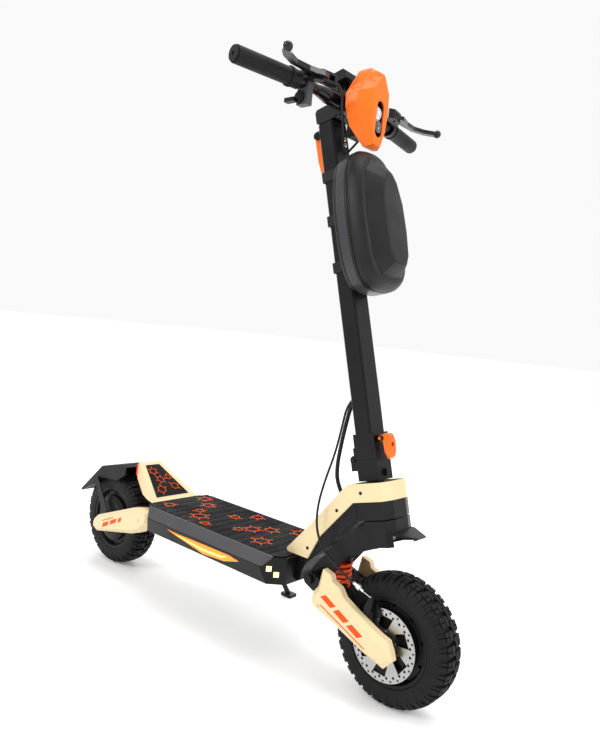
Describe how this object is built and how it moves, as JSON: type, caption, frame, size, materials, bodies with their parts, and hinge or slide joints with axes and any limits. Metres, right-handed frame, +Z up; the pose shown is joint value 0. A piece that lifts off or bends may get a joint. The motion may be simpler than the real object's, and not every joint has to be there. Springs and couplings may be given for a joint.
{
  "type": "electric kick scooter",
  "caption": "Folding electric kick scooter with leading and trailing swing arms, block-tread tyres, faceted covers, headlight mask and stem bag.",
  "frame": {"origin": "on the floor, midway between the front tyre's front and the rear fender's lip, in the middle plane", "axes": "+X forward, +Y to the rider's left, +Z up"},
  "size_m": [1.195, 0.6104, 1.2442],
  "materials": {
    "black_metal": "satin powder coat",
    "black_plastic": "moulded, fine texture",
    "cream_plastic": "satin moulded",
    "orange_plastic": "satin moulded",
    "orange_metal": "anodised",
    "rail_grey": "satin",
    "mat_rubber": "ribbed",
    "tyre_rubber": "matt",
    "grip_rubber": "fine ribs",
    "steel": "turned",
    "rotor_steel": "ground",
    "spring_paint": "gloss",
    "amber_lamp": "clear amber",
    "red_lamp": "clear red",
    "clear_lens": "clear",
    "bag_shell": "pressed shell with a woven face",
    "webbing": "woven strap",
    "cable_sheath": "smooth",
    "battery_wrap": "shrink wrap"
  },
  "bodies": {
    "deck": {"deck_shell": "black_metal", "deck_lid": "black_metal", "deck_mats": "mat_rubber", "side_rails": "rail_grey", "deck_lights": "amber_lamp", "body_screws": "steel", "battery_and_controllers": "battery_wrap", "neck_frame": "black_metal", "neck_cover": "cream_plastic", "headset_bearings": "steel", "kickplate": "cream_plastic", "tail_light": "red_lamp"},
    "steering": {"fork": "black_metal", "fork_shroud": "black_plastic", "front_fender": "black_plastic", "fold_base": "black_metal", "wire_loom": "cable_sheath"},
    "stem": {"stem_tube": "black_metal", "bag_back_shell": "bag_shell", "bag_straps": "webbing"},
    "fold_latch": {"fold_latch": "orange_metal"},
    "post": {"stem_post": "black_metal", "handlebar": "black_metal", "grips": "grip_rubber", "brake_perches": "black_metal", "display": "black_plastic", "throttle_housing": "black_plastic", "headlight_mask": "orange_plastic", "headlight_housing": "black_plastic", "headlight_lens": "clear_lens", "bar_cables": "cable_sheath"},
    "clamp_lever": {"clamp_lever": "orange_metal"},
    "right_lever": {"right_brake_lever": "black_metal"},
    "left_lever": {"left_brake_lever": "black_metal"},
    "throttle": {"throttle_paddle": "black_plastic"},
    "horn": {"horn_button": "black_plastic"},
    "front_arm": {"front_swing_arm": "black_metal", "front_arm_covers": "cream_plastic", "front_pivot_bolt": "steel", "front_axle_and_stator": "steel", "front_caliper": "black_metal", "front_spring": "spring_paint"},
    "front_wheel": {"front_tyre": "tyre_rubber", "front_rim": "black_metal", "front_rotor": "rotor_steel"},
    "rear_arm": {"rear_swing_arm": "black_metal", "rear_arm_covers": "cream_plastic", "rear_pivot_bolt": "steel", "rear_axle_and_stator": "steel", "rear_caliper": "black_metal", "rear_fender": "black_plastic", "rear_spring": "spring_paint"},
    "rear_wheel": {"rear_tyre": "tyre_rubber", "rear_rim": "black_metal", "rear_rotor": "rotor_steel"},
    "kickstand": {"kickstand": "black_metal"},
    "bag_lid": {"bag_lid": "bag_shell"},
    "charging_cap": {"charging_cap": "black_plastic"},
    "front_caliper_arm": {"front_caliper_arm": "black_metal"},
    "rear_caliper_arm": {"rear_caliper_arm": "black_metal"}
  },
  "joints": [
    {"name": "steering_turn", "type": "hinge", "parent": "deck", "child": "steering", "pos_m": [0.384, 0, 0.415], "axis": [-0.2756, 0, 0.9613], "range_deg": [-35, 35], "deforming": ["wire_loom"]},
    {"name": "stem_fold", "type": "hinge", "parent": "steering", "child": "stem", "pos_m": [0.34138, 0, 0.45479], "axis": [0, -1, 0], "range_deg": [0, 84], "deforming": ["wire_loom"]},
    {"name": "latch_open", "type": "hinge", "parent": "stem", "child": "fold_latch", "pos_m": [0.39243, 0, 0.50896], "axis": [0, -1, 0], "range_deg": [0, 80]},
    {"name": "post_height", "type": "slide", "parent": "stem", "child": "post", "axis": [-0.2756, 0, 0.9613], "range_m": [0, 0.12], "deforming": ["bar_cables"]},
    {"name": "clamp_open", "type": "hinge", "parent": "stem", "child": "clamp_lever", "pos_m": [0.14624, 0, 1.12081], "axis": [0, 1, 0], "range_deg": [0, 100]},
    {"name": "right_brake_pull", "type": "hinge", "parent": "post", "child": "right_lever", "pos_m": [0.24893, -0.122, 1.18835], "axis": [0, 0, -1], "range_deg": [0, 13], "stiffness_Nm_per_rad": 1.5, "springref_deg": -17.19},
    {"name": "left_brake_pull", "type": "hinge", "parent": "post", "child": "left_lever", "pos_m": [0.24893, 0.122, 1.18835], "axis": [0, 0, 1], "range_deg": [0, 13], "stiffness_Nm_per_rad": 1.5, "springref_deg": -17.19},
    {"name": "throttle_press", "type": "hinge", "parent": "post", "child": "throttle", "pos_m": [0.20493, -0.134, 1.15135], "axis": [0, -1, 0], "range_deg": [0, 30], "stiffness_Nm_per_rad": 0.06, "springref_deg": -22.92},
    {"name": "horn_press", "type": "slide", "parent": "post", "child": "horn", "axis": [1, 0, 0], "range_m": [0, 0.0015], "stiffness_N_per_m": 400, "springref_m": -0.003},
    {"name": "front_suspension", "type": "hinge", "parent": "steering", "child": "front_arm", "pos_m": [0.289, 0, 0.2], "axis": [0, -1, 0], "range_deg": [0, 10], "stiffness_Nm_per_rad": 240, "springref_deg": -9.74, "deforming": ["front_spring", "wire_loom"]},
    {"name": "front_wheel_spin", "type": "hinge", "parent": "front_arm", "child": "front_wheel", "pos_m": [0.47, 0, 0.1275], "axis": [0, 1, 0], "continuous": true},
    {"name": "rear_suspension", "type": "hinge", "parent": "deck", "child": "rear_arm", "pos_m": [-0.246, 0, 0.19], "axis": [0, 1, 0], "range_deg": [0, 7], "stiffness_Nm_per_rad": 300, "springref_deg": -9.74, "deforming": ["rear_spring"]},
    {"name": "rear_wheel_spin", "type": "hinge", "parent": "rear_arm", "child": "rear_wheel", "pos_m": [-0.45, 0, 0.1275], "axis": [0, 1, 0], "continuous": true},
    {"name": "kickstand_fold", "type": "hinge", "parent": "deck", "child": "kickstand", "pos_m": [0.012, 0.112, 0.15], "axis": [0, 0.9449, 0.3272], "range_deg": [0, 90]},
    {"name": "bag_open", "type": "hinge", "parent": "stem", "child": "bag_lid", "pos_m": [0.3445, 0, 0.79275], "axis": [0, 1, 0], "range_deg": [0, 65]},
    {"name": "charging_cap_open", "type": "hinge", "parent": "deck", "child": "charging_cap", "pos_m": [0.178, 0.1203, 0.2115], "axis": [1, 0, 0], "range_deg": [0, 100]},
    {"name": "front_caliper_pull", "type": "hinge", "parent": "front_arm", "child": "front_caliper_arm", "pos_m": [0.43714, 0, 0.18931], "axis": [0, -1, 0], "range_deg": [0, 20]},
    {"name": "rear_caliper_pull", "type": "hinge", "parent": "rear_arm", "child": "rear_caliper_arm", "pos_m": [-0.41714, 0, 0.18931], "axis": [0, 1, 0], "range_deg": [0, 20]}
  ],
  "couplings": [
    {"joint": "front_caliper_pull", "follows": "left_brake_pull", "ratio": 1.5385},
    {"joint": "rear_caliper_pull", "follows": "right_brake_pull", "ratio": 1.5385}
  ]
}
